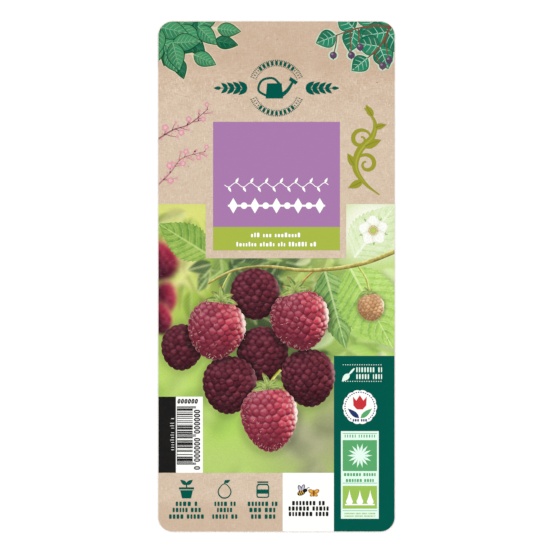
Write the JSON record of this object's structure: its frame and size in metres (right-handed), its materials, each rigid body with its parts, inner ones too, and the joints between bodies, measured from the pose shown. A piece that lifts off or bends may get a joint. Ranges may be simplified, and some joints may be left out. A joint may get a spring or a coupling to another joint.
{
  "type": "printed plant label",
  "caption": "Tall flat kraft card label with rounded corners, printed with a berry picture, a name panel, a barcode block, a side column and care pictograms.",
  "frame": {"origin": "under the middle of the card, at the underside on which it lies", "axes": "+X to the label's right, +Y to its top, +Z out of its printed face"},
  "size_m": [0.1, 0.216, 0.0007],
  "materials": {
    "kraft_board": "uncoated kraft-faced board with fine fibres and specks",
    "picture_ink": "four-colour print of soft yellow-green light",
    "violet_ink": "flat violet print",
    "lime_ink": "flat lime print",
    "deep_green_ink": "flat deep green print",
    "black_ink": "flat black print",
    "white_ink": "opaque white print",
    "mint_ink": "very pale mint print",
    "halo_ink": "pale cream-green edge print",
    "dark_leaf_ink": "dark leaf-green print with pale veins",
    "light_leaf_ink": "mid leaf-green print with fine veins",
    "twig_ink": "red-brown print with dark fruit",
    "pink_ink": "thin pink print",
    "olive_ink": "olive pen-stroke print",
    "field_green_ink": "flat mid green print",
    "field_lime_ink": "flat light green print",
    "red_ink": "flat red print",
    "navy_ink": "flat navy print",
    "orange_ink": "ochre and brown print",
    "berry_ink": "four-colour print of a ripe raspberry",
    "dark_berry_ink": "four-colour print of a raspberry in shade",
    "unripe_berry_ink": "four-colour print of an unripe raspberry",
    "sunlit_leaf_ink": "four-colour print of a sunlit leaf",
    "shady_leaf_ink": "four-colour print of a shaded leaf",
    "cane_ink": "four-colour print of a yellow-green cane"
  },
  "bodies": {
    "root": {"card": "kraft_board", "picture_field": "picture_ink", "name_panel": "violet_ink", "tagline_strip": "lime_ink", "side_column": "deep_green_ink", "pot_size_strip": "black_ink", "barcode_ground": "white_ink", "insect_cell": "white_ink", "barcode_bars": "black_ink", "left_spray_halo": "halo_ink", "left_spray_shade": "dark_leaf_ink", "left_spray_leaves": "light_leaf_ink", "right_spray_halo": "halo_ink", "right_spray_leaves": "dark_leaf_ink", "right_spray_fruit": "twig_ink", "blossom_twig_upper": "pink_ink", "blossom_twig_lower": "pink_ink", "emblem_ring_upper": "deep_green_ink", "emblem_ring_lower": "deep_green_ink", "emblem_can": "deep_green_ink", "emblem_sprig_left": "deep_green_ink", "emblem_sprig_right": "deep_green_ink", "vine_flourish": "olive_ink", "panel_garland": "white_ink", "panel_lozenges": "white_ink", "column_rule_upper": "mint_ink", "column_rule_lower": "mint_ink", "column_trowel": "mint_ink", "badge": "white_ink", "badge_tulip": "red_ink", "badge_leaf_left": "navy_ink", "badge_leaf_right": "field_green_ink", "certificate": "mint_ink", "certificate_upper_field": "field_green_ink", "certificate_lower_field": "field_lime_ink", "certificate_sun": "mint_ink", "certificate_drops": "white_ink", "pot_icon": "deep_green_ink", "pear_icon": "deep_green_ink", "jar_icon": "deep_green_ink", "bee": "black_ink", "butterfly": "orange_ink", "leaf_middle": "shady_leaf_ink", "leaf_upper_right": "sunlit_leaf_ink", "leaf_lower_right": "sunlit_leaf_ink", "leaf_left": "shady_leaf_ink", "fruiting_cane": "cane_ink", "berry_far_left": "dark_berry_ink", "berry_far_top": "dark_berry_ink", "berry_far_middle": "dark_berry_ink", "berry_right": "dark_berry_ink", "berry_left": "dark_berry_ink", "berry_near_right": "berry_ink", "berry_near_left": "berry_ink", "berry_near_low": "berry_ink", "berry_unripe": "unripe_berry_ink", "berry_near_right_sepals": "cane_ink", "berry_near_left_sepals": "cane_ink", "berry_near_low_sepals": "cane_ink", "picture_blossom": "white_ink"}
  },
  "joints": []
}
